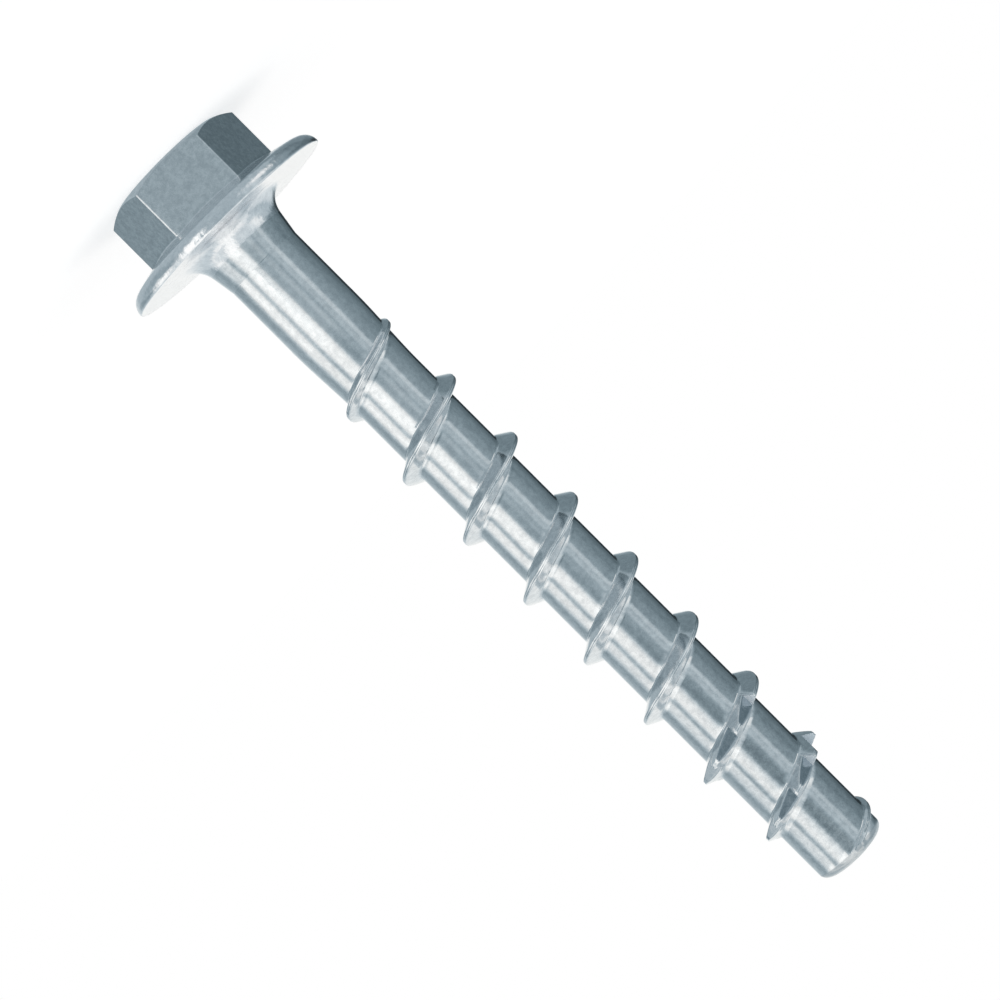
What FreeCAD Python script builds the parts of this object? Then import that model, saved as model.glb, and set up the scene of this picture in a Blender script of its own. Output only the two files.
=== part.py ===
import FreeCAD, Part
import math
import os

import Sketcher

# Concrete screw, forged and rolled from one piece of steel. Millimetres and degrees.
# It stands on its hexagon head: the origin is the centre of the head's flat end, and +Z runs
# along the screw's axis to the tip. One flat of the hexagon looks along -Y.
# A depth is counted from the flange's bearing face towards the tip. A turn is counted along
# the thread from its start, and the crest's depth and angle both follow from it.

NODE = "concrete_screw"

SIZES = {
    # Head and flange
    "hex_across_flats": 13.0,
    "hex_face_diameter": 12.3,
    "hex_chamfer_angle": 30.0,
    "head_height": 8.0,
    "flange_diameter": 22.2,
    "flange_slope": 14.0,
    "flange_rim_radius": 1.4,
    "flange_land": 0.15,
    # Neck, shank and tip
    "neck_fillet_radius": 2.4,
    "neck_slope": 9.0,
    "neck_depth": 4.3,
    "shank_diameter": 7.78,
    "shank_depth": 12.0,
    "taper_length": 8.0,
    "core_diameter": 7.22,
    "screw_depth": 79.0,
    "tip_chamfer_length": 0.95,
    "tip_chamfer_angle": 42.0,
    # Rolled thread, right-handed, one start
    "thread_diameter": 10.12,
    "thread_pitch": 7.59,
    "crest_width": 0.34,
    "head_flank_run": 0.85,
    "tip_flank_run": 0.6,
    "ridge_foot": 0.6,
    "start_diameter": 7.5,
    "start_depth": 9.95,
    "start_angle": -90.0,
    "rise_turns": 2.08,
    "full_turns": 5.86,
    "fall_turns": 1.2,
    # Saw teeth in the crest of the last turns
    "tooth_turn": 6.875,
    "teeth_per_turn": 8.0,
    "tooth_count": 14.0,
    "tooth_floor_diameter": 8.16,
    "tooth_length": 4.2,
}

# Stock past the tip, as long as the whole thread, so that the ridge always ends inside it
STOCK = "sizes.thread_pitch * (sizes.rise_turns + sizes.full_turns + sizes.fall_turns)"
SPLINE_POINTS_PER_TURN = 16
SECTORS = ("right_back", "left_back", "left_front", "right_front")
SECTOR_ANGLE = 360 / len(SECTORS)

# How a sketch numbers a curve's points, its own axes and its origin
START, END, CENTRE = range(1, 4)
AXIS, LEVEL = range(-2, 0)
ORIGIN = (LEVEL, START)

doc = FreeCAD.newDocument("ConcreteScrew")


# The sheet of driving sizes

sheet = doc.addObject("Spreadsheet::Sheet", "sizes")
for row, (alias, value) in enumerate(SIZES.items(), start=1):
    sheet.set(f"A{row}", alias)
    sheet.set(f"B{row}", str(value))
    sheet.setAlias(f"B{row}", alias)
doc.recompute()


def cell(alias):
    return sheet.get(alias)


# Sketch helpers

def new_sketch(body, name, role):
    """An empty sketch on one of its own body's origin planes."""
    plane = next(feature for feature in body.Origin.OriginFeatures if feature.Role == role)
    sketch = body.newObject("Sketcher::SketchObject", name)
    sketch.AttachmentSupport = [(plane, "")]
    sketch.MapMode = "FlatFace"
    return sketch


def add_line(sketch, start, end):
    return sketch.addGeometry(Part.LineSegment(FreeCAD.Vector(*start), FreeCAD.Vector(*end)), False)


def add_arc(sketch, centre, radius, first_angle, last_angle):
    """An arc, anticlockwise from the first angle to the last."""
    circle = Part.Circle(FreeCAD.Vector(*centre), FreeCAD.Vector(0, 0, 1), radius)
    ends = math.radians(first_angle), math.radians(last_angle)
    return sketch.addGeometry(Part.ArcOfCircle(circle, *ends), False)


def constrain(sketch, kind, *places):
    return sketch.addConstraint(Sketcher.Constraint(kind, *places))


def dimension(sketch, name, expression, kind, *places):
    """A dimension that follows the sheet. The first value only starts the solver."""
    index = constrain(sketch, kind, *places)
    sketch.renameConstraint(index, name)
    sketch.setExpression(f"Constraints.{name}", expression)


# Head: a hexagon column with its corners turned off at the end

def make_hexagon(body):
    sketch = new_sketch(body, "hexagon", "XY_Plane")
    corner_radius = cell("hex_across_flats") / math.sqrt(3)
    corners = [
        (corner_radius * math.cos(math.radians(60 * k)), corner_radius * math.sin(math.radians(60 * k)))
        for k in range(6)
    ]
    sides = [add_line(sketch, corners[k], corners[(k + 1) % 6]) for k in range(6)]
    circle = sketch.addGeometry(
        Part.Circle(FreeCAD.Vector(0, 0, 0), FreeCAD.Vector(0, 0, 1), corner_radius), True
    )
    constrain(sketch, "Coincident", circle, CENTRE, *ORIGIN)
    for k, side in enumerate(sides):
        constrain(sketch, "Coincident", side, END, sides[(k + 1) % 6], START)
        constrain(sketch, "PointOnObject", side, START, circle)
    for side in sides[1:]:
        constrain(sketch, "Equal", sides[0], side)
    constrain(sketch, "Horizontal", sides[1])
    dimension(sketch, "half_width", "sizes.hex_across_flats / 2",
              "Distance", circle, CENTRE, sides[1], cell("hex_across_flats") / 2)
    column = body.newObject("PartDesign::Pad", "hex_column")
    column.Profile = sketch
    column.setExpression("Length", "sizes.head_height - sizes.flange_land")
    return column


def make_hex_chamfer(body):
    sketch = new_sketch(body, "hex_chamfer", "XZ_Plane")
    inner = cell("hex_face_diameter") / 2
    outer = cell("hex_across_flats")
    rise = (outer - inner) * math.tan(math.radians(cell("hex_chamfer_angle")))
    floor = add_line(sketch, (inner, 0), (outer, 0))
    wall = add_line(sketch, (outer, 0), (outer, rise))
    slope = add_line(sketch, (outer, rise), (inner, 0))
    constrain(sketch, "Coincident", floor, END, wall, START)
    constrain(sketch, "Coincident", wall, END, slope, START)
    constrain(sketch, "Coincident", slope, END, floor, START)
    constrain(sketch, "PointOnObject", floor, START, LEVEL)
    constrain(sketch, "PointOnObject", floor, END, LEVEL)
    constrain(sketch, "Vertical", wall)
    dimension(sketch, "face_radius", "sizes.hex_face_diameter / 2",
              "DistanceX", *ORIGIN, floor, START, inner)
    dimension(sketch, "outside", "sizes.hex_across_flats",
              "DistanceX", *ORIGIN, floor, END, outer)
    dimension(sketch, "rise", "(sizes.hex_across_flats - sizes.hex_face_diameter / 2)"
              " * tan(sizes.hex_chamfer_angle * 1 deg)",
              "DistanceY", wall, START, wall, END, rise)
    groove = body.newObject("PartDesign::Groove", "hex_corners")
    groove.Profile = sketch
    groove.ReferenceAxis = (sketch, ["V_Axis"])
    groove.Angle = 360
    return groove


# Flange, neck and shank: one turned outline, with stock past the tip for the thread to end in

def make_turned_outline(body):
    sketch = new_sketch(body, "turned_outline", "XZ_Plane")
    bearing = cell("head_height")
    face = cell("hex_face_diameter") / 2
    rim = cell("flange_diameter") / 2
    rim_radius = cell("flange_rim_radius")
    land = cell("flange_land")
    slope = math.radians(cell("flange_slope"))
    fillet = cell("neck_fillet_radius")
    lean = math.radians(cell("neck_slope"))
    shank = cell("shank_diameter") / 2
    core = cell("core_diameter") / 2
    neck_end = bearing + cell("neck_depth")
    shank_end = bearing + cell("shank_depth")
    taper_end = shank_end + cell("taper_length")
    turns = cell("rise_turns") + cell("full_turns") + cell("fall_turns")
    stock_end = bearing + cell("screw_depth") + cell("thread_pitch") * turns

    rim_centre = (rim - rim_radius, bearing - land)
    dome_end = (rim_centre[0] + rim_radius * math.sin(slope), rim_centre[1] - rim_radius * math.cos(slope))
    dome_start = (face, dome_end[1] - (dome_end[0] - face) * math.tan(slope))
    fillet_centre_z = bearing + fillet
    neck_at_centre = shank + (neck_end - fillet_centre_z) * math.tan(lean)
    fillet_centre = (neck_at_centre + fillet / math.cos(lean), fillet_centre_z)
    neck_start = (fillet_centre[0] - fillet * math.cos(lean), fillet_centre[1] - fillet * math.sin(lean))

    dome = add_line(sketch, dome_start, dome_end)
    round_over = add_arc(sketch, rim_centre, rim_radius, math.degrees(slope) - 90, 0)
    rim_land = add_line(sketch, (rim, bearing - land), (rim, bearing))
    seat = add_line(sketch, (rim, bearing), (fillet_centre[0], bearing))
    blend = add_arc(sketch, fillet_centre, fillet, 180 + math.degrees(lean), 270)
    neck = add_line(sketch, neck_start, (shank, neck_end))
    plain = add_line(sketch, (shank, neck_end), (shank, shank_end))
    taper = add_line(sketch, (shank, shank_end), (core, taper_end))
    stock = add_line(sketch, (core, taper_end), (core, stock_end))
    stock_face = add_line(sketch, (core, stock_end), (0, stock_end))
    centre_line = add_line(sketch, (0, stock_end), (0, dome_start[1]))
    inside = add_line(sketch, (0, dome_start[1]), dome_start)

    constrain(sketch, "Tangent", dome, END, round_over, START)
    constrain(sketch, "Tangent", round_over, END, rim_land, START)
    constrain(sketch, "Vertical", rim_land)
    constrain(sketch, "Coincident", rim_land, END, seat, START)
    constrain(sketch, "Horizontal", seat)
    constrain(sketch, "Tangent", seat, END, blend, END)
    constrain(sketch, "Tangent", blend, START, neck, START)
    for first, second in ((neck, plain), (plain, taper), (taper, stock), (stock, stock_face),
                          (stock_face, centre_line), (centre_line, inside), (inside, dome)):
        constrain(sketch, "Coincident", first, END, second, START)
    constrain(sketch, "Vertical", plain)
    constrain(sketch, "Vertical", stock)
    constrain(sketch, "Horizontal", stock_face)
    constrain(sketch, "PointOnObject", centre_line, START, AXIS)
    constrain(sketch, "PointOnObject", centre_line, END, AXIS)
    constrain(sketch, "Horizontal", inside)

    dimension(sketch, "dome_inner", "sizes.hex_face_diameter / 2",
              "DistanceX", *ORIGIN, dome, START, face)
    dimension(sketch, "dome_slope", "sizes.flange_slope * 1 deg", "Angle", dome, slope)
    dimension(sketch, "rim", "sizes.flange_diameter / 2", "DistanceX", *ORIGIN, round_over, END, rim)
    dimension(sketch, "rim_radius", "sizes.flange_rim_radius", "Radius", round_over, rim_radius)
    dimension(sketch, "rim_land", "sizes.flange_land", "DistanceY", rim_land, START, rim_land, END, land)
    dimension(sketch, "bearing", "sizes.head_height", "DistanceY", *ORIGIN, seat, START, bearing)
    dimension(sketch, "blend_radius", "sizes.neck_fillet_radius", "Radius", blend, fillet)
    dimension(sketch, "neck_lean", "90 deg + sizes.neck_slope * 1 deg", "Angle", neck, math.pi / 2 + lean)
    dimension(sketch, "neck_end", "sizes.neck_depth", "DistanceY", seat, START, plain, START,
              cell("neck_depth"))
    dimension(sketch, "shank", "sizes.shank_diameter / 2", "DistanceX", *ORIGIN, plain, START, shank)
    dimension(sketch, "shank_end", "sizes.shank_depth", "DistanceY", seat, START, plain, END,
              cell("shank_depth"))
    dimension(sketch, "taper", "sizes.taper_length", "DistanceY", taper, START, taper, END,
              cell("taper_length"))
    dimension(sketch, "core", "sizes.core_diameter / 2", "DistanceX", *ORIGIN, stock, START, core)
    dimension(sketch, "stock_end", f"sizes.screw_depth + {STOCK}",
              "DistanceY", seat, START, stock, END, stock_end - bearing)

    quarter = body.newObject("PartDesign::Revolution", "turned_quarter")
    quarter.Profile = sketch
    quarter.ReferenceAxis = (sketch, ["V_Axis"])
    quarter.Angle = SECTOR_ANGLE
    return quarter


def make_turned_sectors():
    """The outline turned in equal sectors, so that no face of the shank closes on itself."""
    first = doc.addObject("PartDesign::Body", SECTORS[0])
    make_turned_outline(first)
    sectors = [first]
    for index, name in enumerate(SECTORS[1:], start=1):
        copy = doc.addObject("App::Link", name)
        copy.LinkedObject = first
        copy.Placement.Rotation = FreeCAD.Rotation(FreeCAD.Vector(0, 0, 1), SECTOR_ANGLE * index)
        sectors.append(copy)
    return sectors


# Thread: a ridge whose height changes along the helix. It rises out of the shank, runs at full
# height and sinks back into the core at the tip. Each corner of its section follows a curve,
# and ruled strips join neighbouring curves.

def crest_radius(turn):
    """Straight rise from the start radius, full height, then a straight fall to the core."""
    full = cell("thread_diameter") / 2
    start = cell("start_diameter") / 2
    core = cell("core_diameter") / 2
    rise_end = cell("rise_turns")
    fall_start = rise_end + cell("full_turns")
    if turn < rise_end:
        return start + (full - start) * turn / rise_end
    if turn < fall_start:
        return full
    return full - (full - core) * (turn - fall_start) / cell("fall_turns")


def crest_depth(turn):
    return cell("start_depth") + cell("thread_pitch") * turn


def crest_angle(turn):
    return cell("start_angle") + 360 * turn


def ridge_section():
    """Corners of the section as (drop below the crest, shift along the axis from its middle).
    Both flanks run on below the core's surface, down to the ridge's foot."""
    height = (cell("thread_diameter") - cell("core_diameter")) / 2
    half_crest = cell("crest_width") / 2
    deep = height + cell("ridge_foot")
    return [
        (deep, -half_crest - cell("head_flank_run") * deep / height),
        (0, -half_crest),
        (0, half_crest),
        (deep, half_crest + cell("tip_flank_run") * deep / height),
    ]


def section_corner(turn, corner):
    drop, shift = corner
    radius = crest_radius(turn) - drop
    angle = math.radians(crest_angle(turn))
    height = cell("head_height") + crest_depth(turn) + shift
    return FreeCAD.Vector(radius * math.cos(angle), radius * math.sin(angle), height)


def corner_curve(first_turn, last_turn, corner):
    """A spline through the places of one corner, evenly spaced in turns."""
    steps = max(4, math.ceil((last_turn - first_turn) * SPLINE_POINTS_PER_TURN))
    turns = [first_turn + (last_turn - first_turn) * step / steps for step in range(steps + 1)]
    spline = Part.BSplineCurve()
    spline.interpolate(Points=[section_corner(turn, corner) for turn in turns], Parameters=turns)
    return spline.toShape()


def make_ridge_shape():
    corners = ridge_section()
    rise_end = cell("rise_turns")
    fall_start = rise_end + cell("full_turns")
    whole_turns = math.floor(cell("full_turns"))
    stops = [0, rise_end / 2, rise_end]
    stops += [rise_end + turn for turn in range(1, whole_turns)]
    stops += [fall_start, fall_start + cell("fall_turns")]

    faces = []
    for first_turn, last_turn in zip(stops, stops[1:]):
        curves = [corner_curve(first_turn, last_turn, corner) for corner in corners]
        for curve, neighbour in zip(curves, curves[1:] + curves[:1]):
            faces.append(Part.makeRuledSurface(curve, neighbour, 1).Faces[0])
    for turn in (stops[0], stops[-1]):
        places = [section_corner(turn, corner) for corner in corners]
        faces.append(Part.Face(Part.makePolygon(places + places[:1])))
    shell = Part.makeShell(faces)
    shell.sewShape()
    ridge = Part.makeSolid(Part.Shell(shell.Faces))
    if ridge.Volume < 0:
        ridge.reverse()
    return ridge


def make_ridge():
    ridge = doc.addObject("Part::Feature", "thread_ridge")
    ridge.Shape = make_ridge_shape()
    return ridge


# Cutters: the saw teeth and the tip

def make_tooth_cutter(index):
    """A block whose corner cuts one tooth: a wall through the axis and a floor square to it."""
    turn = f"(sizes.tooth_turn + {index} / sizes.teeth_per_turn)"
    angle = f"(sizes.start_angle + 360 * {turn})"
    ridge_width = "(sizes.crest_width + sizes.head_flank_run + sizes.tip_flank_run)"
    block = doc.addObject("Part::Box", f"tooth_cutter_{index + 1}")
    block.setExpression("Length", "sizes.thread_diameter / 2")
    block.setExpression("Width", "sizes.tooth_length")
    block.setExpression("Height", f"sizes.thread_pitch / 4 + {ridge_width}")
    block.Placement.Rotation = FreeCAD.Rotation(FreeCAD.Vector(0, 0, 1), 45)
    block.setExpression("Placement.Rotation.Angle", f"mod({angle}; 360) * 1 deg")
    block.setExpression("Placement.Base.x", f"sizes.tooth_floor_diameter / 2 * cos({angle} * 1 deg)")
    block.setExpression("Placement.Base.y", f"sizes.tooth_floor_diameter / 2 * sin({angle} * 1 deg)")
    block.setExpression("Placement.Base.z", f"sizes.head_height + sizes.start_depth"
                        f" + sizes.thread_pitch * {turn} - {ridge_width} / 2")
    return block


def make_tip_cutter():
    """What is turned off past the tip: a block with a funnel in it, as wide as the chamfer."""
    block = doc.addObject("Part::Cylinder", "tip_block")
    block.setExpression("Radius", "sizes.thread_diameter")
    block.setExpression("Height", f"sizes.tip_chamfer_length + {STOCK} + sizes.thread_pitch")
    block.setExpression("Placement.Base.z", "sizes.head_height + sizes.screw_depth - sizes.tip_chamfer_length")
    funnel = doc.addObject("Part::Cone", "tip_funnel")
    spread = "sizes.tip_chamfer_length * tan(sizes.tip_chamfer_angle * 1 deg)"
    funnel.setExpression("Radius1", "sizes.core_diameter / 2")
    funnel.setExpression("Radius2", f"sizes.core_diameter / 2 - {spread}")
    funnel.setExpression("Height", "sizes.tip_chamfer_length")
    funnel.setExpression("Placement.Base.z", "sizes.head_height + sizes.screw_depth - sizes.tip_chamfer_length")
    cutter = doc.addObject("Part::Cut", "tip_cutter")
    cutter.Base = block
    cutter.Tool = funnel
    return cutter


def check(objects):
    for item in objects:
        if "Invalid" in item.State or "Error" in item.State:
            raise RuntimeError(f"{item.Label} failed: {item.State}")
        if hasattr(item, "Shape") and (item.Shape.isNull() or not item.Shape.isValid()):
            raise RuntimeError(f"{item.Label} has no valid shape")


# Assembly of the one piece

head = doc.addObject("PartDesign::Body", "hexagon_head")
make_hexagon(head)
make_hex_chamfer(head)

rolled = doc.addObject("Part::MultiFuse", "rolled_blank")
rolled.Shapes = make_turned_sectors() + [head, make_ridge()]

cutters = doc.addObject("Part::MultiFuse", "cutters")
cutters.Shapes = [make_tooth_cutter(index) for index in range(int(cell("tooth_count")))] + [make_tip_cutter()]

screw = doc.addObject("Part::Cut", "screw")
screw.Base = rolled
screw.Tool = cutters
screw.Label = NODE
doc.recompute()
check(doc.Objects)

solids = screw.Shape.Solids
if len(solids) != 1:
    raise RuntimeError(f"{NODE} is {len(solids)} solids")
print(f"{NODE}: {screw.Shape.Volume:.1f} mm3, {len(screw.Shape.Faces)} faces, {screw.Shape.BoundBox}")

os.makedirs("parts", exist_ok=True)
solids[0].exportStep(f"parts/{NODE}.step")
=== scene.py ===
# %% [markdown]
# # A concrete screw
# This notebook dresses the CAD model of a zinc-plated concrete screw. The real screw is one piece
# of steel: a forged hexagon head with a wide domed flange, a plain shank, and a rolled thread whose
# last turns carry saw teeth that cut the concrete. The CAD frame fixes every size, and the scene
# adds what a close look shows: softened edges, blended roots, the plating and its reflections.

# %% Load the frame
import math

import bpy
import numpy as np
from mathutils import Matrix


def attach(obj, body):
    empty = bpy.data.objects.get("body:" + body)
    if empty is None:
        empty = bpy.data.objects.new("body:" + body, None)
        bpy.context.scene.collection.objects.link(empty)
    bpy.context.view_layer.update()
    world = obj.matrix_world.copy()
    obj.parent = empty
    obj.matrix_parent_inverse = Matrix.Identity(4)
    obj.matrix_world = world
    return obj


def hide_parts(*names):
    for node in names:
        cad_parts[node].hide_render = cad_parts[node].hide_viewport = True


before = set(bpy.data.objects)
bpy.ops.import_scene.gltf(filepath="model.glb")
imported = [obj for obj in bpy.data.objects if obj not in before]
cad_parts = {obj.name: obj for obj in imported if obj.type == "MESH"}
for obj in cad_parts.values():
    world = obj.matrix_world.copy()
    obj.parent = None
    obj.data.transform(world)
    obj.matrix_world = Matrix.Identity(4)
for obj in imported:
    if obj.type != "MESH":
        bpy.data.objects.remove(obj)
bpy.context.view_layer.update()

# %% [markdown]
# ## Sizes
# The sizes repeat those of the CAD part, in millimetres. Only the small roundings are the scene's
# own. A depth is counted from the flange's bearing face towards the tip, and a turn is counted along
# the thread from its start. The millimetres are turned into metres once, when the mesh is made.

# %% Sizes of the head
HEAD_HEIGHT = 8.0
HEX_FLAT_RADIUS = 6.5
HEX_FACE_RADIUS = 6.15
HEX_CHAMFER = math.radians(30)
HEX_ROOT_RADIUS = 0.18
FLANGE_RADIUS = 11.1
FLANGE_SLOPE = math.radians(14)
RIM_RADIUS = 1.4
RIM_LAND = 0.15
print(f"A head of {2 * HEX_FLAT_RADIUS:.0f} mm on a flange of {2 * FLANGE_RADIUS:.1f} mm")

# %% Sizes of the neck, the shank and the tip
NECK_FILLET = 2.4
NECK_SLOPE = math.radians(9)
NECK_DEPTH = 4.3
SHANK_RADIUS = 3.89
SHANK_DEPTH = 12.0
TAPER_LENGTH = 8.0
CORE_RADIUS = 3.61
SCREW_DEPTH = 79.0
TIP_ROUNDING = 0.95
TIP_RADIUS = 2.2
print(f"A shank of {2 * SHANK_RADIUS:.2f} mm, {SCREW_DEPTH:.0f} mm long under the head")

# %% Sizes of the thread and its teeth
CREST_RADIUS = 5.06
PITCH = 7.59
CREST_WIDTH = 0.34
HEAD_FLANK = 0.85
TIP_FLANK = 0.6
START_RADIUS = 3.75
START_DEPTH = 9.95
START_ANGLE = -90.0
RISE_TURNS = 2.08
FULL_TURNS = 5.86
FALL_TURNS = 1.2
FIRST_TOOTH = 6.875
TEETH_PER_TURN = 8
TOOTH_COUNT = 14
TOOTH_FLOOR_RADIUS = 4.08

RIDGE_HEIGHT = CREST_RADIUS - CORE_RADIUS
TOOTH_ANGLE = 360 / TEETH_PER_TURN
print(f"Ridge height {RIDGE_HEIGHT:.2f} mm on a core of {2 * CORE_RADIUS:.2f} mm")

# %% [markdown]
# ## One set of angles for the whole screw
# Head, shank and thread are one surface, so all of it uses the same columns of points round the
# axis. The columns are even, and they fall on the hexagon's corners and on the walls of the teeth.
# More columns lie close beside the corners and the walls, because no forged edge is quite sharp.

# %% Columns round the axis
EVEN_COLUMNS = 96
CORNER_HALF_WIDTH = 0.75
WALL_EDGE_WIDTH = 1.6

even = np.arange(EVEN_COLUMNS) * 360 / EVEN_COLUMNS
corners = np.arange(0, 360, 60)
beside_corners = np.concatenate([corners + CORNER_HALF_WIDTH, (corners - CORNER_HALF_WIDTH) % 360])
walls = np.arange(TEETH_PER_TURN) * 360 / TEETH_PER_TURN
before_walls = (walls - WALL_EDGE_WIDTH) % 360
column_angles = np.unique(np.concatenate([even, beside_corners, before_walls]))
print(len(column_angles), "columns round the axis")

# %% [markdown]
# ## Head, flange and neck
# The head is forged from the same rod as the shank, so its parts run into each other. A six-sided
# cylinder and a turned disc could be joined with a Boolean, but the blend between them would be
# hard to steer. Here the head is worked out row by row, from the middle of its flat end to the
# shank. Each row is a ring that gives a radius and a height at every column. On the hexagon the
# radius grows towards the corners, and from the rim on every ring is round.

# %% Outline of the hexagon
CORNER_FULLNESS = 1.0018


def hexagon_radius(degrees):
    """Distance from the axis to the hexagon: the flat's distance over the cosine of the angle from
    the flat's middle. A corner column stands only a little further out than those beside it."""
    from_flat = np.abs(degrees % 60 - 30)
    radius = HEX_FLAT_RADIUS / np.cos(np.radians(from_flat))
    beside = HEX_FLAT_RADIUS / math.cos(math.radians(30 - CORNER_HALF_WIDTH))
    return np.where(from_flat > 30 - CORNER_HALF_WIDTH / 2, beside * CORNER_FULLNESS, radius)


hexagon = hexagon_radius(column_angles)
print(f"Hexagon from {hexagon.min():.2f} to {hexagon.max():.2f} mm from the axis")


# %% Arcs and round rows
def arc(centre, radius, first, last, count):
    """Points on an arc: the centre plus the radius times cosine and sine of each angle."""
    angles = np.radians(np.linspace(first, last, count))
    return [(centre[0] + radius * math.cos(a), centre[1] + radius * math.sin(a)) for a in angles]


def round_rows(outline):
    """Rings with one radius and one height all round, one ring for each point of an outline."""
    return [(np.full_like(hexagon, radius), np.full_like(hexagon, height)) for radius, height in outline]


print("A round row has", len(round_rows([(1, 0)])[0][0]), "points")

# %% Domed face of the flange
rim_centre = (FLANGE_RADIUS - RIM_RADIUS, HEAD_HEIGHT - RIM_LAND)
dome_end = (rim_centre[0] + RIM_RADIUS * math.sin(FLANGE_SLOPE),
            rim_centre[1] - RIM_RADIUS * math.cos(FLANGE_SLOPE))
# Length of the root blend's legs, in blend radii, from the corner between side and dome
root_reach = 1 / math.tan((math.pi / 2 + FLANGE_SLOPE) / 2)


def dome_height(radius):
    """Height of the domed face: it falls from the rim towards the axis at the flange's slope."""
    return dome_end[1] - (dome_end[0] - radius) * math.tan(FLANGE_SLOPE)


dome_heights = dome_height(hexagon)
print(f"The dome meets the hexagon between {dome_heights.min():.2f} and {dome_heights.max():.2f} mm")

# %% Rows of the hexagon
FACE_RINGS = (1.5, 3.0, 4.5, 5.6)
FACE_EDGE = 0.06
FACE_EDGE_HEIGHT = 0.045
CHAMFER_SHARES = (0.5, 1.0)
SIDE_SHARES = (0.03, 0.5, 0.96, 1.0)


def hexagon_rows():
    """Rows over the end face, the turned chamfer and the sides, up to the start of the root blend.
    On the chamfer the height is the radius past the face's edge times the tangent of its slope."""
    slope = math.tan(HEX_CHAMFER)
    rows = round_rows([(radius, 0) for radius in FACE_RINGS])
    rows += round_rows([(HEX_FACE_RADIUS - FACE_EDGE, 0), (HEX_FACE_RADIUS + FACE_EDGE, FACE_EDGE_HEIGHT)])
    for share in CHAMFER_SHARES:
        radius = HEX_FACE_RADIUS + (hexagon - HEX_FACE_RADIUS) * share
        rows.append((radius, (radius - HEX_FACE_RADIUS) * slope))
    side_start = (hexagon - HEX_FACE_RADIUS) * slope
    side_end = dome_height(hexagon) - HEX_ROOT_RADIUS * root_reach
    rows += [(hexagon, side_start + (side_end - side_start) * share) for share in SIDE_SHARES]
    return rows


print(len(hexagon_rows()), "rows from the end face to the root blend")

# %% Rows of the flange
ROOT_FIRST_ANGLE = 165
ROOT_ROWS = 6
DOME_SHARES = (0.25, 0.5, 0.75)
RIM_LAST_ANGLE = -6
RIM_ROWS = 11
LAND_ROWS = 5


def flange_rows():
    """Rows of the root blend, the dome and the rim. The root blend is an arc that touches the side
    and the dome; each column has its own centre, because the side's radius changes."""
    rows = []
    centre_radius = hexagon + HEX_ROOT_RADIUS
    centre_height = dome_height(hexagon) - HEX_ROOT_RADIUS * root_reach
    root_last_angle = 90 + math.degrees(FLANGE_SLOPE)
    for angle in np.radians(np.linspace(ROOT_FIRST_ANGLE, root_last_angle, ROOT_ROWS)):
        rows.append((centre_radius + HEX_ROOT_RADIUS * math.cos(angle),
                     centre_height + HEX_ROOT_RADIUS * math.sin(angle)))
    start = rows[-1][0]
    for share in DOME_SHARES:
        radius = start + (dome_end[0] - start) * share
        rows.append((radius, dome_height(radius)))
    outline = arc(rim_centre, RIM_RADIUS, math.degrees(FLANGE_SLOPE) - 90, RIM_LAST_ANGLE, RIM_ROWS)
    edge_centre = (FLANGE_RADIUS - RIM_LAND, HEAD_HEIGHT - RIM_LAND)
    outline += arc(edge_centre, RIM_LAND, 0, 90, LAND_ROWS)
    return rows + round_rows(outline)


print(len(flange_rows()), "rows from the root blend to the bearing face")

# %% Rows of the bearing face, neck and shank
BEARING_RINGS = (10.6, 9.3, 7.8)
FILLET_ROWS = 14
NECK_SHARES = (0.3, 0.6)
NECK_EDGE = 0.05
SHANK_HEIGHTS = (13.4, 14.6)


def neck_rows():
    """Rows of the bearing face, the large fillet, the slightly conical neck and the plain shank.
    The fillet's centre is one fillet radius above the bearing face and as far from the neck line."""
    neck_end = HEAD_HEIGHT + NECK_DEPTH
    centre_height = HEAD_HEIGHT + NECK_FILLET
    at_centre = SHANK_RADIUS + (neck_end - centre_height) * math.tan(NECK_SLOPE)
    centre = (at_centre + NECK_FILLET / math.cos(NECK_SLOPE), centre_height)
    outline = [(radius, HEAD_HEIGHT) for radius in BEARING_RINGS]
    fillet = arc(centre, NECK_FILLET, 270, 180 + math.degrees(NECK_SLOPE), FILLET_ROWS)
    outline += fillet
    last_radius, last_height = fillet[-1]
    for share in NECK_SHARES:
        outline.append((last_radius + (SHANK_RADIUS - last_radius) * share,
                        last_height + (neck_end - last_height) * share))
    outline.append((SHANK_RADIUS + NECK_EDGE * math.tan(NECK_SLOPE), neck_end - NECK_EDGE))
    outline += [(SHANK_RADIUS, height) for height in (neck_end, neck_end + NECK_EDGE) + SHANK_HEIGHTS]
    return round_rows(outline)


head_rows = hexagon_rows() + flange_rows() + neck_rows()
print(len(head_rows), "rows from the end face to the shank")


# %% [markdown]
# ## Thread
# A thread is rolled: dies press the grooves and the steel flows up into the ridge. A profile could
# be swept along the helix, but the ridge would then only stand on the core and not grow out of it.
# So the whole threaded length is one height field. A grid follows the helix, one column per angle
# and one row per place across a turn, and the rows crowd together where the ridge's section has
# its corners. Where neighbouring turns meet, their border points coincide and are merged.

# %% Crest and core along the thread
def crest_radius(turn):
    """Straight rise out of the shank, full height, then a straight fall into the core at the tip."""
    rise = START_RADIUS + (CREST_RADIUS - START_RADIUS) * turn / RISE_TURNS
    fall = CREST_RADIUS - RIDGE_HEIGHT * (turn - RISE_TURNS - FULL_TURNS) / FALL_TURNS
    return np.minimum(np.minimum(rise, fall), CREST_RADIUS)


def crest_height(turn):
    """Height of the crest's middle: the start's height plus one pitch for each turn."""
    return HEAD_HEIGHT + START_DEPTH + PITCH * turn


def ease(share):
    """Smooth step: three times the square less twice the cube of a share between 0 and 1."""
    share = np.clip(share, 0, 1)
    return share * share * (3 - 2 * share)


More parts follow.
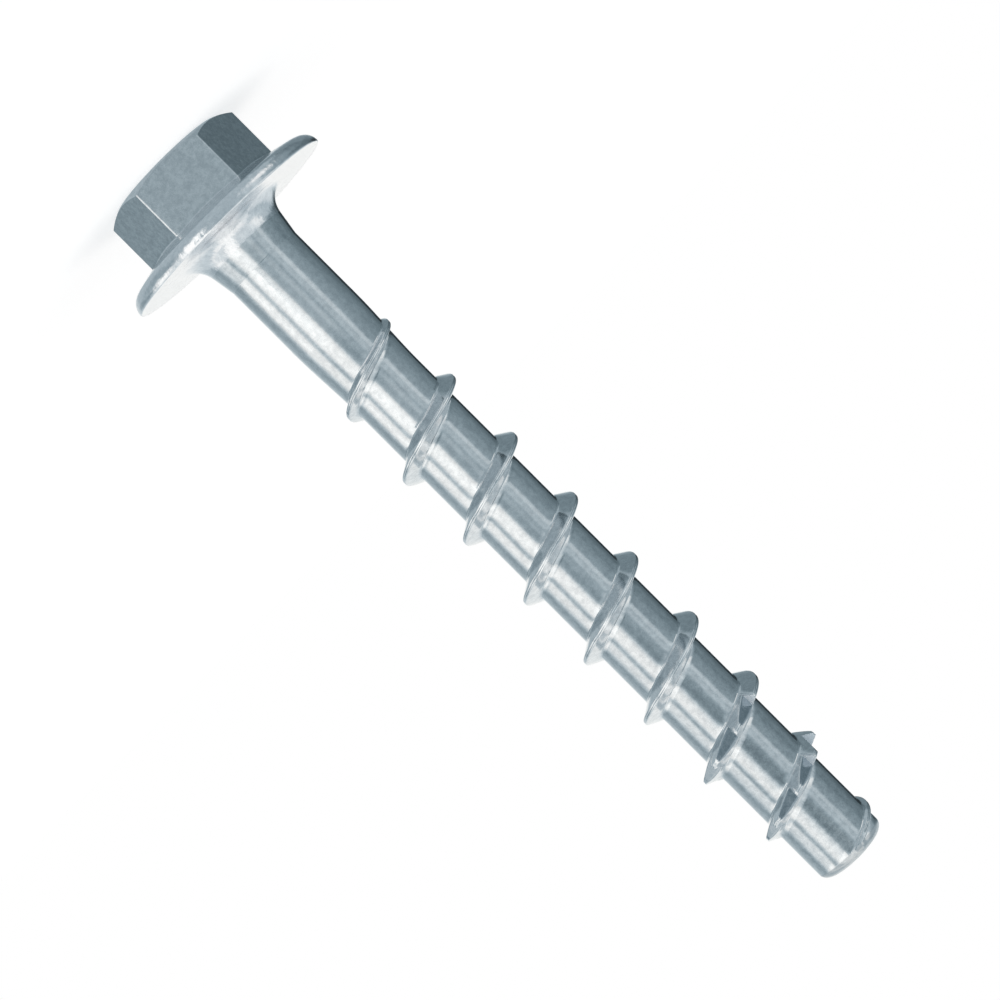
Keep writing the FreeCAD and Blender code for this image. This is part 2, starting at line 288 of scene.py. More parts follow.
def core_radius(height):
    """Shank radius, easing into the core radius over the taper with a smooth step."""
    share = ease((height - HEAD_HEIGHT - SHANK_DEPTH) / TAPER_LENGTH)
    return SHANK_RADIUS + (CORE_RADIUS - SHANK_RADIUS) * share


print(f"The crest is full from turn {RISE_TURNS} to {RISE_TURNS + FULL_TURNS:.2f}")

# %% [markdown]
# The teeth are notches in the ridge. Each starts at a wall that stands across the thread and runs
# out over a flat floor. A Boolean with fourteen cutters would leave long thin faces, so the notches
# are a limit on the ridge's height instead. A point on a wall belongs to the ridge on one side and
# to the floor on the other, and its side, -1 or +1, says to which.

# %% Teeth of the thread
WALL_BEVEL = 0.075
NO_LIMIT = 99.0
SIDE_STEP = 1e-6


def tooth_cap(turn, side):
    """How far out the ridge may reach where a tooth is cut. The floor is a plane square to the
    tooth's wall, so its distance is the floor radius over the cosine of the angle from the wall."""
    steps = (turn - FIRST_TOOTH) * TEETH_PER_TURN
    tooth = np.floor(steps + side * SIDE_STEP)
    angle = np.radians(np.clip(steps - tooth, 0, 1) * 360 / TEETH_PER_TURN)
    cut = (tooth >= 0) & (tooth < TOOTH_COUNT)
    return np.where(cut, TOOTH_FLOOR_RADIUS / np.cos(angle), NO_LIMIT)


def worn_crest(turn, side):
    """The crest's radius, less a small bevel where the ridge ends at the wall of the next tooth."""
    steps = (turn - FIRST_TOOTH) * TEETH_PER_TURN
    nearest = np.round(steps)
    ends = (side < 0) & np.isclose(steps, nearest) & (nearest >= 0) & (nearest < TOOTH_COUNT)
    return crest_radius(turn) - np.where(ends, WALL_BEVEL, 0)


print(TOOTH_COUNT, "teeth, one every", TOOTH_ANGLE, "degrees")

# %% Section of the ridge
ROOT_BLEND = 0.26
BLEND_SHARE = 0.8
LEAST_BLEND = 1e-4
EDGE_SOFTNESS = 0.1
SEAM_DEPTH = 0.035
SEAM_HALF_WIDTH = 0.07
SEAM_RIDGE_HEIGHT = 0.3


def soft_limit(first, second, width, sign):
    """The smaller (sign -1) or larger (sign +1) of two values. Where they differ by less than the
    width, the corner is rounded by the squared rest of the width over four times the width."""
    gap = np.maximum(width - np.abs(first - second), 0)
    plain = np.minimum(first, second) if sign < 0 else np.maximum(first, second)
    return plain + sign * gap * gap / (4 * width)


def surface_radius(turn, offset, side):
    """Radius of the threaded surface. The offset runs along the axis from the crest's middle: past
    the crest's half width each flank falls by the ridge's height over the flank's run. The steel
    rises from both sides and leaves a fine seam along the middle of the crest."""
    nearest = np.round(offset / PITCH)
    turn = turn + nearest
    offset = offset - nearest * PITCH
    crest = worn_crest(turn, side)
    cap = tooth_cap(turn, side)
    top = np.minimum(crest, cap)
    beyond = np.abs(offset) - CREST_WIDTH / 2
    run = np.where(offset < 0, HEAD_FLANK, TIP_FLANK)
    flank = crest - beyond * RIDGE_HEIGHT / run
    ridge = soft_limit(flank, top, EDGE_SOFTNESS, -1)
    core = core_radius(crest_height(turn) + offset)
    seam = SEAM_DEPTH * np.clip(1 - np.abs(offset) / SEAM_HALF_WIDTH, 0, 1)
    ridge = ridge - np.where((cap > crest) & (ridge > core + SEAM_RIDGE_HEIGHT), seam, 0)
    blend = np.clip(BLEND_SHARE * (top - core), LEAST_BLEND, ROOT_BLEND)
    return soft_limit(core, ridge, blend, 1)


print(f"Middle of the ridge at turn 4: {float(surface_radius(4.0, 0.0, 1)):.3f} mm from the axis")

# %% Rows across one turn
LEAST_HEIGHT = 0.05
FLANK_SHARE = 0.9
ROUNDING_SHARE = 0.4
# Rows from one key place to the next, counted from the head's side to the tip's side
ROW_COUNTS = (6, 6, 3, 2, 4, 2, 2, 2, 2, 2, 4, 2, 3, 6)


def fill(first, last, count):
    """Evenly spaced places from the first row up to, but not with, the last."""
    share = np.arange(count)[:, None] / count
    return first + (last - first) * share


def flank_places(turn, side, run):
    """Key places on one flank, as distances from the crest's middle: half a pitch, both ends of the
    root blend, the lowest tooth floor, and both ends of the rounding where flank and top meet."""
    crest = worn_crest(turn, side)
    top = np.minimum(crest, tooth_cap(turn, side))
    height = np.maximum(crest - core_radius(crest_height(turn)), LEAST_HEIGHT)
    low = np.minimum(np.maximum(crest - TOOTH_FLOOR_RADIUS, crest - top), height * FLANK_SHARE)
    per_drop = run / RIDGE_HEIGHT
    half = CREST_WIDTH / 2
    toe = half + per_drop * height
    blend = np.minimum(ROOT_BLEND * per_drop, ROUNDING_SHARE * (toe - half))
    edge = half + per_drop * np.clip(crest - top, 0, height * FLANK_SHARE)
    split = np.maximum(half + per_drop * low, edge)
    soft = min(EDGE_SOFTNESS * per_drop, ROUNDING_SHARE * half)
    return [PITCH / 2 + 0 * turn, toe + ROOT_BLEND * per_drop, toe - blend,
            split, np.minimum(edge + soft, split), edge - soft]


def row_offsets(turn, side):
    """Offsets of the rows across one turn, crowded at the roots and at the crest's edges."""
    head = [-place for place in flank_places(turn, side, HEAD_FLANK)]
    tip = flank_places(turn, side, TIP_FLANK)
    seam = SEAM_HALF_WIDTH + 0 * turn
    keys = head + [-seam, 0 * turn, seam] + tip[::-1]
    rows = [fill(first, last, count) for first, last, count in zip(keys, keys[1:], ROW_COUNTS)]
    return np.concatenate(rows + [keys[-1][None, :]])


print(sum(ROW_COUNTS) + 1, "rows across one turn")

# %% [markdown]
# The grid's columns are doubled at the walls, every 45 degrees. One copy belongs to the ridge
# before a tooth's wall and the other to the floor after it, so the wall is a clean step. Points
# past either end of the thread are moved along the axis onto an end ring, where the surface is
# joined to the rest.

# %% Columns along the thread
HELIX_FROM = 16.0
HELIX_TO = HEAD_HEIGHT + SCREW_DEPTH - TIP_ROUNDING
TURNS_AHEAD = 2
GRID_TURNS = 12

at_wall = np.isclose(column_angles % TOOTH_ANGLE, 0)
turn_angles = np.repeat(column_angles, np.where(at_wall, 2, 1))
first_copy = np.append(np.isclose(turn_angles[1:], turn_angles[:-1]), False)
turn_sides = np.where(first_copy, -1.0, 1.0)

first_turn = -START_ANGLE / 360 - TURNS_AHEAD
turns = (first_turn + np.arange(GRID_TURNS)[:, None] + turn_angles[None, :] / 360).ravel()
sides = np.tile(turn_sides, GRID_TURNS)
angles = np.tile(turn_angles, GRID_TURNS)
print(len(turns), "columns along the thread")

# %% Points of the thread
offsets = row_offsets(turns, sides)
heights = np.clip(crest_height(turns) + offsets, HELIX_FROM, HELIX_TO)
radii = surface_radius(turns[None, :], heights - crest_height(turns), sides[None, :])
thread_points = np.stack([
    radii * np.cos(np.radians(angles)), radii * np.sin(np.radians(angles)), heights], axis=-1)
print("Thread grid of", thread_points.shape[0], "rows by", thread_points.shape[1], "columns")

# %% Rows of the tip
TIP_ANGLES = (12, 24, 36, 48, 60, 72, 82, 90)
TIP_RINGS = (1.9, 1.3, 0.7)

end_turn = (column_angles - START_ANGLE) / 360
end_radius = surface_radius(end_turn, HELIX_TO - crest_height(end_turn), np.ones_like(end_turn))


def tip_rows():
    """Rows from the last ring of the thread, which still carries the end of the ridge, over the
    rounded edge to the flat end. The rounding is a quarter of an ellipse: radius and height follow
    the cosine and the sine of its angle."""
    rows = [(end_radius, np.full_like(end_radius, HELIX_TO))]
    for angle in np.radians(TIP_ANGLES):
        rows.append((TIP_RADIUS + (end_radius - TIP_RADIUS) * math.cos(angle),
                     np.full_like(end_radius, HELIX_TO + TIP_ROUNDING * math.sin(angle))))
    return rows + round_rows([(radius, HELIX_TO + TIP_ROUNDING) for radius in TIP_RINGS])


print(f"The last ring lies {end_radius.min():.2f} to {end_radius.max():.2f} mm from the axis")


# %% [markdown]
# ## One closed mesh
# The head's rows, the thread's grid and the tip's rows are put into one mesh. Three objects would
# show a seam at each joint, because shading doesn't run on from one object to the next. Points that
# coincide are merged, faces that shrink to nothing are dropped, and a closed surface is left.

# %% Faces and points of a grid
def grid_faces(rows, columns, first_index, closed):
    """Four-sided faces between neighbouring rows and columns, in the order that faces outwards."""
    row = np.arange(rows - 1)[:, None]
    column = np.arange(columns if closed else columns - 1)[None, :]
    following = (column + 1) % columns
    base = first_index + row * columns
    above = base + columns
    faces = np.stack([base + column, base + following, above + following, above + column], axis=-1)
    return faces.reshape(-1, 4)


def ring_points(rows):
    """Points of rings: the radius times cosine and sine of each column's angle, and the height."""
    radius = np.array([row[0] for row in rows])
    height = np.array([row[1] for row in rows])
    around = np.radians(column_angles)
    return np.stack([radius * np.cos(around), radius * np.sin(around), height], axis=-1)


print("A grid of 3 by 4 points has", len(grid_faces(3, 4, 0, False)), "faces")

# %% Points and faces of the screw
lower = ring_points(head_rows + round_rows([(SHANK_RADIUS, HELIX_FROM)]))
upper = ring_points(tip_rows())
blocks = [lower.reshape(-1, 3), thread_points.reshape(-1, 3), upper.reshape(-1, 3)]
starts = np.cumsum([0] + [len(block) for block in blocks])
points = np.concatenate(blocks + [[[0, 0, 0], [0, 0, HEAD_HEIGHT + SCREW_DEPTH]]])
quads = np.concatenate([
    grid_faces(lower.shape[0], lower.shape[1], starts[0], True),
    grid_faces(thread_points.shape[0], thread_points.shape[1], starts[1], False),
    grid_faces(upper.shape[0], upper.shape[1], starts[2], True)])

columns = np.arange(len(column_angles))
next_columns = np.roll(columns, -1)
last_ring = starts[3] - len(columns)
head_fan = np.stack([np.full_like(columns, starts[3]), next_columns, columns], axis=-1)
tip_fan = np.stack([
    np.full_like(columns, starts[3] + 1), last_ring + columns, last_ring + next_columns], axis=-1)
print(len(points), "points and", len(quads) + 2 * len(columns), "faces before they are merged")

# %% Build the screw
import bmesh

MM_PER_METRE = 1000
SAME_POINT = 2e-6
NO_LENGTH = 1e-6

mesh = bpy.data.meshes.new("plated_screw")
faces = quads.tolist() + head_fan.tolist() + tip_fan.tolist()
mesh.from_pydata((points / MM_PER_METRE).tolist(), [], faces)
shape = bmesh.new()
shape.from_mesh(mesh)
bmesh.ops.remove_doubles(shape, verts=shape.verts, dist=SAME_POINT)
bmesh.ops.dissolve_degenerate(shape, edges=shape.edges, dist=NO_LENGTH)
open_edges = [edge for edge in shape.edges if not edge.is_manifold]
shape.to_mesh(mesh)
print(f"{len(mesh.vertices)} points, {len(mesh.polygons)} faces, {len(open_edges)} open edges, "
      f"volume {shape.calc_volume() * MM_PER_METRE ** 3:.0f} mm3")
shape.free()

# %% Shading of the surface
SHARP_ANGLE = math.radians(38)

screw = bpy.data.objects.new("plated_screw", mesh)
bpy.context.scene.collection.objects.link(screw)
mesh.polygons.foreach_set("use_smooth", np.ones(len(mesh.polygons), dtype=bool))
mesh.set_sharp_from_angle(angle=SHARP_ANGLE)
weighting = screw.modifiers.new("flat_faces_stay_flat", "WEIGHTED_NORMAL")
weighting.keep_sharp = True
weighting.mode = "FACE_AREA"

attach(screw, "root")
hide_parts("concrete_screw")
print("Smooth below", round(math.degrees(SHARP_ANGLE)), "degrees between faces")

# %% [markdown]
# ## Zinc plating
# Bright zinc is a metal skin a few thousandths of a millimetre thick. It takes the shape of what
# is under it: rolled steel is smooth and mirrors the studio as crisp streaks, the hexagon is satin,
# and the flange keeps the waves of the forging die. A painted image could show that, but it would
# need an unwrapped surface. Noise on Object coordinates needs none and stays with the metal in
# every view. One recipe makes all the finishes, and its values say how rough, how wavy, how dark
# and how pale the surface is. The same recipe also paints light and shade into the colour: the
# teeth's walls get a paler, bluish zinc as painted light, and the teeth's floors and the rounded tip
# a darker zinc as painted shade.

# %% Parts of the recipe
NOISE_DETAIL = 4
MOTTLE_SCALE = 1800
MOTTLE_ROUGHNESS = 0.8
TINT_RANGE = (0.38, 0.62)
DULLNESS_RANGE = (0.32, 0.68)


def add_tint(nodes, links, mottle, dark, pale):
    """Dark at the low end of the mottle's range, pale at its high end, and mixed between."""
    tint = nodes.new("ShaderNodeValToRGB")
    low, high = tint.color_ramp.elements
    low.position = TINT_RANGE[0]
    low.color = (*dark, 1)
    high.position = TINT_RANGE[1]
    high.color = (*pale, 1)
    links.new(mottle, tint.inputs["Fac"])
    return tint.outputs["Color"]


def add_dullness(nodes, links, mottle, roughness, spread):
    """The roughness less the spread where the mottle is low, and plus the spread where it is high."""
    dullness = nodes.new("ShaderNodeMapRange")
    dullness.inputs["From Min"].default_value = DULLNESS_RANGE[0]
    dullness.inputs["From Max"].default_value = DULLNESS_RANGE[1]
    dullness.inputs["To Min"].default_value = roughness - spread
    dullness.inputs["To Max"].default_value = roughness + spread
    links.new(mottle, dullness.inputs["Value"])
    return dullness.outputs["Result"]


def add_waves(nodes, links, place, waves, wave_depth):
    """Waves of the surface: so many to the metre, and so deep in metres."""
    ripples = nodes.new("ShaderNodeTexNoise")
    ripples.inputs["Scale"].default_value = waves
    ripples.inputs["Detail"].default_value = NOISE_DETAIL
    links.new(place, ripples.inputs["Vector"])
    relief = nodes.new("ShaderNodeBump")
    relief.inputs["Strength"].default_value = 1.0
    relief.inputs["Distance"].default_value = wave_depth
    links.new(ripples.outputs["Fac"], relief.inputs["Height"])
    return relief.outputs["Normal"]


print("The mottle has about", MOTTLE_SCALE, "clouds to the metre")


# %% Recipe for a plated finish
def plated(name, roughness, spread, waves, wave_depth, dark, pale):
    """Metal whose colour and roughness wander between two values with a fine mottle, and whose
    surface is wavy."""
    material = bpy.data.materials.new(name)
    material.use_nodes = True
    nodes = material.node_tree.nodes
    links = material.node_tree.links
    shader = nodes["Principled BSDF"]
    shader.inputs["Metallic"].default_value = 1.0

    place = nodes.new("ShaderNodeTexCoord").outputs["Object"]
    noise = nodes.new("ShaderNodeTexNoise")
    noise.inputs["Scale"].default_value = MOTTLE_SCALE
    noise.inputs["Detail"].default_value = NOISE_DETAIL
    noise.inputs["Roughness"].default_value = MOTTLE_ROUGHNESS
    links.new(place, noise.inputs["Vector"])
    mottle = noise.outputs["Fac"]

    links.new(add_tint(nodes, links, mottle, dark, pale), shader.inputs["Base Color"])
    links.new(add_dullness(nodes, links, mottle, roughness, spread), shader.inputs["Roughness"])
    links.new(add_waves(nodes, links, place, waves, wave_depth), shader.inputs["Normal"])
    return material


ZINC_DARK = (0.67, 0.695, 0.715)
ZINC_PALE = (0.85, 0.87, 0.885)

rolled_zinc = plated("rolled_zinc", 0.12, 0.03, waves=2500, wave_depth=2.5e-6,
                     dark=ZINC_DARK, pale=ZINC_PALE)
satin_zinc = plated("satin_zinc", 0.18, 0.03, waves=5000, wave_depth=2.0e-6,
                    dark=ZINC_DARK, pale=ZINC_PALE)
forged_zinc = plated("forged_zinc", 0.2, 0.05, waves=1400, wave_depth=5.0e-5,
                     dark=(0.8, 0.815, 0.84), pale=(0.93, 0.94, 0.955))
# Painted light: the teeth's walls are the same zinc, given a paler, bluish base so that they look lit
wall_zinc_painted_light = plated("wall_zinc_painted_light", 0.7, 0.05, waves=5000, wave_depth=5.0e-6,
                   dark=(0.9, 0.94, 0.98), pale=(0.94, 0.97, 1.0))
# Painted shade: the teeth's floors are the same rolled zinc, given a darker, bluish base so that they look
# shaded
floor_zinc_painted_shade = plated("floor_zinc_painted_shade", 0.2, 0.05, waves=5000, wave_depth=5.0e-6,
                      dark=(0.41, 0.47, 0.51), pale=(0.49, 0.54, 0.58))
# Painted shade: the rounded tip is the same zinc, given a darker base that dims the bright reflection on
# its edge
tip_zinc_painted_shade = plated("tip_zinc_painted_shade", 0.22, 0.05, waves=3000, wave_depth=1.0e-5,
                      dark=(0.52, 0.55, 0.57), pale=(0.61, 0.64, 0.66))
FINISHES_AND_PAINTED_LIGHT = [rolled_zinc, satin_zinc, forged_zinc, wall_zinc_painted_light, floor_zinc_painted_shade, tip_zinc_painted_shade]
ROLLED, SATIN, FORGED, WALL_PAINTED_LIGHT, FLOOR_PAINTED_SHADE, TIP_PAINTED_SHADE = range(len(FINISHES_AND_PAINTED_LIGHT))
print("Finishes:", [finish.name for finish in FINISHES_AND_PAINTED_LIGHT])

# %% [markdown]
# The real screw is one piece, so it stays one mesh here, and each face says by a number which
# finish it carries, with painted light on the teeth's walls and painted shade on their floors and
# on the tip. The number follows from where the face lies and which way it looks, worked out for all
# faces at once.

# %% Where each face lies and looks
LEAST_DISTANCE = 0.01

for finish in FINISHES_AND_PAINTED_LIGHT:
    mesh.materials.append(finish)

centres = np.empty(len(mesh.polygons) * 3)
normals = np.empty(len(mesh.polygons) * 3)
mesh.polygons.foreach_get("center", centres)
mesh.polygons.foreach_get("normal", normals)
x, y, z = centres.reshape(-1, 3).T * MM_PER_METRE
normal_x, normal_y, _ = normals.reshape(-1, 3).T
from_axis = np.hypot(x, y)
outward = (x * normal_x + y * normal_y) / np.maximum(from_axis, LEAST_DISTANCE)
around_face = (x * normal_y - y * normal_x) / np.maximum(from_axis, LEAST_DISTANCE)
print(f"Faces lie up to {from_axis.max():.2f} mm from the axis")

# %% Which faces carry which finish, painted light or painted shade
FORGED_NECK = 2.2
HEXAGON_REACH = 7.6
DOME_GAP = 0.05
WALL_FACING = 0.9
FLOOR_FACING = 0.75
FLOOR_GAP = 0.02

on_head = z < HEAD_HEIGHT + FORGED_NECK
on_hexagon = on_head & (from_axis < HEXAGON_REACH) & (z < dome_height(from_axis) - DOME_GAP)
on_wall = (z > HELIX_FROM) & (around_face > WALL_FACING)
past_wall = np.radians(np.degrees(np.arctan2(y, x)) % TOOTH_ANGLE)
on_floor = (z > HELIX_FROM) & (z < HELIX_TO) & (outward > FLOOR_FACING)
on_floor = on_floor & (np.abs(from_axis * np.cos(past_wall) - TOOTH_FLOOR_RADIUS) < FLOOR_GAP)
on_tip = z > HELIX_TO
# The walls take the paler zinc as painted light, and the floors and the tip the darker zinc as painted
# shade
finish_and_painted_light_index = np.select([on_tip, on_wall, on_floor, on_hexagon, on_head],
                         [TIP_PAINTED_SHADE, WALL_PAINTED_LIGHT, FLOOR_PAINTED_SHADE, SATIN, FORGED], ROLLED)
mesh.polygons.foreach_set("material_index", finish_and_painted_light_index.astype(np.int32))
for number, finish in enumerate(FINISHES_AND_PAINTED_LIGHT):
    print(int((finish_and_painted_light_index == number).sum()), "faces of", finish.name)


# %% [markdown]
# ## Floor and light
# The floor is plain and pale. Its colour, with a little glow that only the camera and reflections
# see, makes the white background, and it keeps the screw's soft shadow. More light would make the
# floor white as well, but the metal would then be too bright.

# %% Light paths that show the background
def seen_directly(nodes, links):
    """1 for camera, glossy and transmission rays, and 0 for the rays that carry light around."""
    path = nodes.new("ShaderNodeLightPath")
    total = nodes.new("ShaderNodeMath")
    total.operation = "ADD"
    links.new(path.outputs["Is Camera Ray"], total.inputs[0])
    links.new(path.outputs["Is Glossy Ray"], total.inputs[1])
    whole = nodes.new("ShaderNodeMath")
    whole.operation = "ADD"
    whole.use_clamp = True
    links.new(total.outputs["Value"], whole.inputs[0])
    links.new(path.outputs["Is Transmission Ray"], whole.inputs[1])
    return whole.outputs["Value"]


# %% World
WORLD_LIGHT = 0.35
WORLD_SHOWN = 1.0

world = bpy.data.worlds.new("studio")
bpy.context.scene.world = world
world.use_nodes = True
world_nodes = world.node_tree.nodes
world_links = world.node_tree.links
background = world_nodes["Background"]
background.inputs["Color"].default_value = (1, 1, 1, 1)
strength = world_nodes.new("ShaderNodeMapRange")
strength.inputs["To Min"].default_value = WORLD_LIGHT
strength.inputs["To Max"].default_value = WORLD_SHOWN
world_links.new(seen_directly(world_nodes, world_links), strength.inputs["Value"])
world_links.new(strength.outputs["Result"], background.inputs["Strength"])
print(f"The world shows as {WORLD_SHOWN} and lights with {WORLD_LIGHT}")

# %% Floor
FLOOR_REACH = 8.0
FLOOR_GREY = 0.7
FLOOR_GLOW = 0.665

corner_signs = np.array([(-1, -1, 0), (1, -1, 0), (1, 1, 0), (-1, 1, 0)])
floor_mesh = bpy.data.meshes.new("floor")
floor_mesh.from_pydata((FLOOR_REACH * corner_signs).tolist(), [], [(0, 1, 2, 3)])
floor = bpy.data.objects.new("floor", floor_mesh)
bpy.context.scene.collection.objects.link(floor)

paper = bpy.data.materials.new("white_paper")
paper.use_nodes = True
paper_nodes = paper.node_tree.nodes
paper_links = paper.node_tree.links
paper_shader = paper_nodes["Principled BSDF"]
paper_shader.inputs["Base Color"].default_value = (FLOOR_GREY, FLOOR_GREY, FLOOR_GREY, 1)
paper_shader.inputs["Roughness"].default_value = 1.0
paper_shader.inputs["Specular IOR Level"].default_value = 0.0
paper_shader.inputs["Emission Color"].default_value = (1, 1, 1, 1)
glow = paper_nodes.new("ShaderNodeMath")
glow.operation = "MULTIPLY"
glow.inputs[1].default_value = FLOOR_GLOW
paper_links.new(seen_directly(paper_nodes, paper_links), glow.inputs[0])
paper_links.new(glow.outputs["Value"], paper_shader.inputs["Emission Strength"])
floor_mesh.materials.append(paper)
floor.visible_glossy = False
print("The floor reaches", FLOOR_REACH, "m to each side")

# %% [markdown]
# Metal has hardly any colour of its own: it shows what stands around it. A photographer hangs such
# a screw among tall strips of grey and white paper, and each strip becomes a streak along the
# shank. Area lamps could stand in for the strips, but they would light the floor too. Here the
# strips are painted on the inside of a large dome that only reflections see. A direction is given
# by the turn round the screw from the camera's side, where a strip at an angle shows on the shank
# at half that angle, and by its height over the horizon.

# %% Paper strips round the screw
# Turn in degrees from the camera towards +X, brightness low down, and brightness higher up
STRIPS = [
    (-180, 1.00, 1.00), (-174, 1.00, 1.00), (-168, 0.30, 0.30), (-143, 0.16, 0.16), (-132, 0.17, 0.15),
    (-115, 0.25, 0.24), (-97, 0.30, 0.21), (-83, 0.33, 0.30), (-69, 0.37, 0.32), (-57, 0.41, 0.34),
    (-53, 0.68, 0.58), (-46, 0.70, 0.62), (-42, 0.54, 0.50), (-30, 0.56, 0.60), (-24, 0.43, 0.42),
    (-18, 0.58, 0.28), (-12, 0.64, 0.23), (-4, 0.50, 0.22), (5, 0.49, 0.22), (12, 0.58, 0.32),
    (17, 1.05, 0.60), (26, 1.32, 0.84), (44, 1.22, 0.98), (50, 1.10, 0.88), (57, 0.64, 0.48),
    (64, 0.63, 0.42), (71, 1.06, 0.86), (82, 1.22, 0.80), (94, 1.04, 0.76), (104, 0.62, 0.48),
    (112, 0.42, 0.36), (124, 0.42, 0.44), (140, 0.50, 0.54), (152, 0.62, 0.59), (165, 0.85, 0.85),
    (174, 0.98, 0.98), (180, 0.98, 0.98),
]
# Heights in degrees between which the strips change, and the share of the higher brightness there
STRIP_HEIGHTS = [(-3, 0), (9, 1), (10.5, 1), (11.5, 0)]
print(len(STRIPS), "points along the strips")

# %% Cards, sky and ground
# Middle turn, half its width, lowest and highest edge in degrees, softness, brightness, and cover
CARDS = [
    ("hazy sky", 0, 200, 17, 100, 10, 0.95, 0.4),
    ("bright sky overhead", 0, 200, 66, 100, 14, 1.10, 0.6),
    ("haze behind, left", -160, 24, 17, 60, 8, 0.85, 0.7),
    ("grey card on the right", 76, 14, 20, 56, 6, 0.62, 0.6),
    ("dark edge", -156, 13, -9, 12, 3, 0.04, 1.0),
    ("white card on the left", -66, 13, 15, 50, 5, 0.92, 1.0),
    ("ground", 0, 200, -100, -48, 8, 0.48, 1.0),
    ("grey table in front", 0, 24, -60, -9, 5, 0.46, 1.0),
    ("low card on the left", -66, 15, -50, -30, 6, 1.00, 1.0),
    ("dark table on the right", 94, 36, -50, -25, 5, 0.38, 1.0),
    ("shade on the ground behind, left", -170, 34, -60, -19, 4, 0.26, 1.0),
    ("shade on the ground behind, right", 168, 26, -60, -16, 8, 0.50, 1.0),
    ("upper face of the hexagon", -120, 24, -16, -5.5, 2, 0.16, 1.0),
    ("front face of the hexagon", 0, 30, -16, -5.5, 2, 0.41, 1.0),
    ("lower face of the hexagon", 120, 24, -16, -5.5, 2, 0.31, 1.0),
]
print(len(CARDS), "cards")


# %% Brightness of the studio in a direction
def strip_level(turn, rise):
    """Brightness of the strips: the low one and the high one, mixed by the height."""
    strip_turns, low, high = np.transpose(STRIPS)
    strip_rises, shares = np.transpose(STRIP_HEIGHTS)
    share = np.interp(rise, strip_rises, shares)
    return np.interp(turn, strip_turns, low) * (1 - share) + np.interp(turn, strip_turns, high) * share


def studio_level(turn, rise):
    """Brightness of the dome in a direction: the strips, then each card laid over them with soft
    edges. A card's cover says how much of what is behind it the card hides."""
    level = strip_level(turn, rise)
    for _, middle, half, low, high, soft, brightness, cover in CARDS:
        aside = np.abs((turn - middle + 180) % 360 - 180)
        share = cover * ease((half - aside) / soft + 0.5) * ease((rise - low) / soft + 0.5)
        share = share * ease((high - rise) / soft + 0.5)
        level = level + (brightness - level) * share
    return level


print(f"Straight in front of the screw the studio's level is {float(studio_level(0, 0)):.2f}")

# %% Dome
DOME_RADIUS = 3.0
DOME_CENTRE = 0.044
DOME_COLUMNS = 361
DOME_ROWS = 121
# Dark paper is a little blue: shares of red and blue at three levels
TINTED_LEVELS = (0.13, 0.45, 1.0)
RED_SHARES = (0.72, 0.83, 1.0)
BLUE_SHARES = (1.14, 1.09, 0.98)

dome_turns, dome_rises = np.meshgrid(np.linspace(-180, 180, DOME_COLUMNS), np.linspace(-90, 90, DOME_ROWS))
level = studio_level(dome_turns, dome_rises)
red = level * np.interp(level, TINTED_LEVELS, RED_SHARES)
blue = level * np.interp(level, TINTED_LEVELS, BLUE_SHARES)
colours = np.stack([red, level, blue, np.ones_like(level)], axis=-1)
around = np.radians(dome_turns)
above = np.radians(dome_rises)
dome_points = DOME_RADIUS * np.stack([
    np.sin(around) * np.cos(above), -np.cos(around) * np.cos(above), np.sin(above)], axis=-1)
dome_points[..., 2] += DOME_CENTRE

dome_mesh = bpy.data.meshes.new("studio_dome")
dome_faces = grid_faces(*level.shape, 0, False)
dome_mesh.from_pydata(dome_points.reshape(-1, 3).tolist(), [], dome_faces.tolist())
attribute = dome_mesh.color_attributes.new("paper", "FLOAT_COLOR", "POINT")
attribute.data.foreach_set("color", colours.ravel())
print("Dome levels from", round(float(level.min()), 2), "to", round(float(level.max()), 2))

# %% Hang the dome
dome = bpy.data.objects.new("studio_dome", dome_mesh)
bpy.context.scene.collection.objects.link(dome)
dome.visible_camera = False
dome.visible_diffuse = False
dome.visible_shadow = False
dome.visible_transmission = False
dome.visible_volume_scatter = False

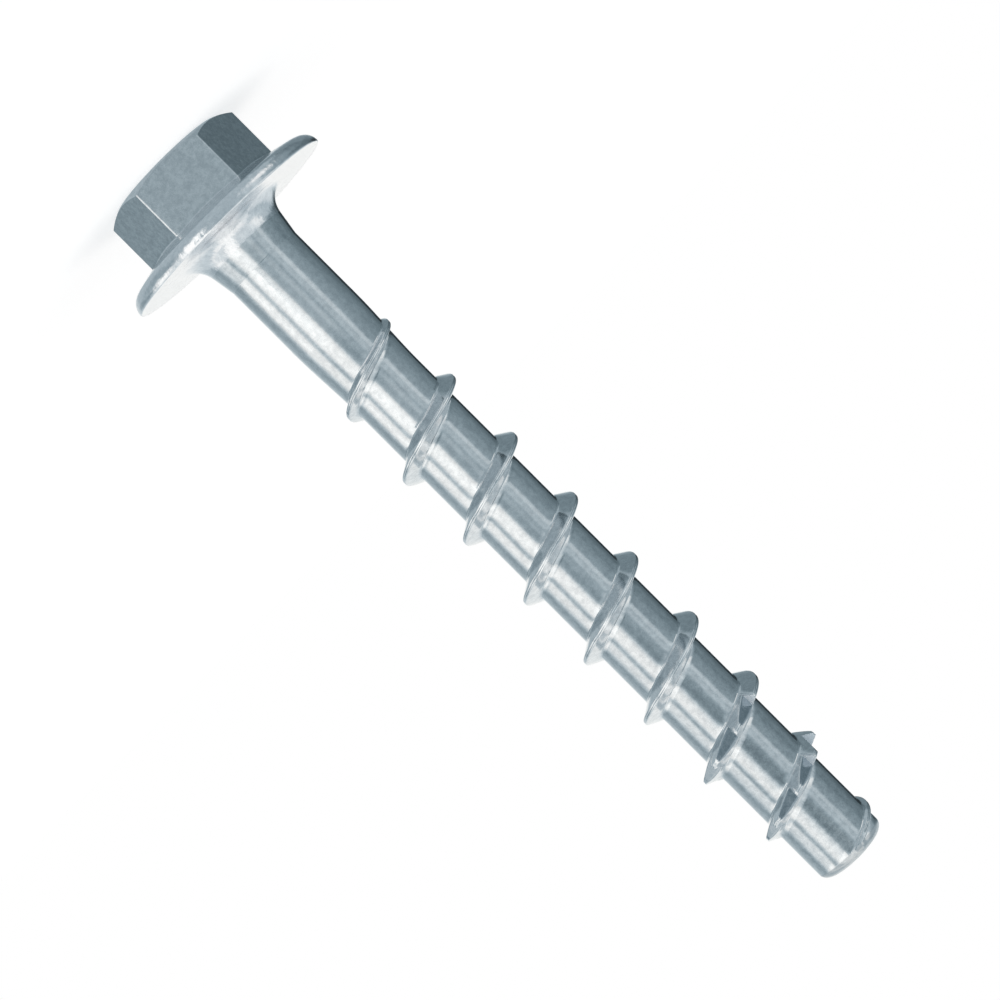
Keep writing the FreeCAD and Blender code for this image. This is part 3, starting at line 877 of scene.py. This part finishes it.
painted = bpy.data.materials.new("painted_cards")
painted.use_nodes = True
painted_nodes = painted.node_tree.nodes
painted_links = painted.node_tree.links
painted_nodes.clear()
colour = painted_nodes.new("ShaderNodeVertexColor")
colour.layer_name = "paper"
emission = painted_nodes.new("ShaderNodeEmission")
output = painted_nodes.new("ShaderNodeOutputMaterial")
painted_links.new(colour.outputs["Color"], emission.inputs["Color"])
painted_links.new(emission.outputs["Emission"], output.inputs["Surface"])
dome_mesh.materials.append(painted)
print(f"The dome hangs {DOME_RADIUS} m from the screw, and only reflections see it")

# %% Soft light from above
LIGHT_POWER = 0.5
LIGHT_WIDTH = math.radians(40)
LIGHT_TILT = math.radians(24)

soft_light = bpy.data.lights.new("soft_light", "SUN")
soft_light.angle = LIGHT_WIDTH
soft_light.energy = LIGHT_POWER
light_holder = bpy.data.objects.new("soft_light", soft_light)
bpy.context.scene.collection.objects.link(light_holder)
light_holder.rotation_euler = (LIGHT_TILT, 0, 0)
light_holder.visible_glossy = False
print(f"The light comes from {math.degrees(LIGHT_TILT):.0f} degrees in front of overhead")

# %% [markdown]
# ## Camera
# The photograph looks almost square on at the axis, from about 29 cm, with the head at the upper
# left. The camera stands a little nearer to the head and looks near the middle of the screw. A
# camera could be turned by Euler angles. Here three directions are worked out instead, because the
# picture's right side then lies exactly half-way between the screw's side and its tip.

# %% Camera
from mathutils import Matrix, Vector

FRAME_PIXELS = 1000
SENSOR_WIDTH = 36.0
NEAR_LIMIT = 0.01
PIXELS_PER_MM = 11.2
DISTANCE = 293.0
STAND_HEIGHT = 35.6
STAND_SIDE = 0.08
AIM_HEIGHT = 42.04

camera_data = bpy.data.cameras.new("camera")
camera_data.sensor_width = SENSOR_WIDTH
camera_data.lens = SENSOR_WIDTH * PIXELS_PER_MM * DISTANCE / FRAME_PIXELS
camera_data.clip_start = NEAR_LIMIT
camera = bpy.data.objects.new("camera", camera_data)
bpy.context.scene.collection.objects.link(camera)

back = Vector((0, -DISTANCE, STAND_HEIGHT - AIM_HEIGHT)).normalized()
upper_side = Vector((-1, 0, 0))
to_tip = upper_side.cross(back)
right = (upper_side + to_tip).normalized()
up = back.cross(right)
attitude = Matrix((right, up, back)).transposed().to_4x4()
stand = Vector((STAND_SIDE, -DISTANCE, STAND_HEIGHT)) / MM_PER_METRE
camera.matrix_world = Matrix.Translation(stand) @ attitude
bpy.context.scene.camera = camera
bpy.context.scene.view_settings.view_transform = "Standard"
print(f"Lens {camera_data.lens:.1f} mm at {DISTANCE:.0f} mm")
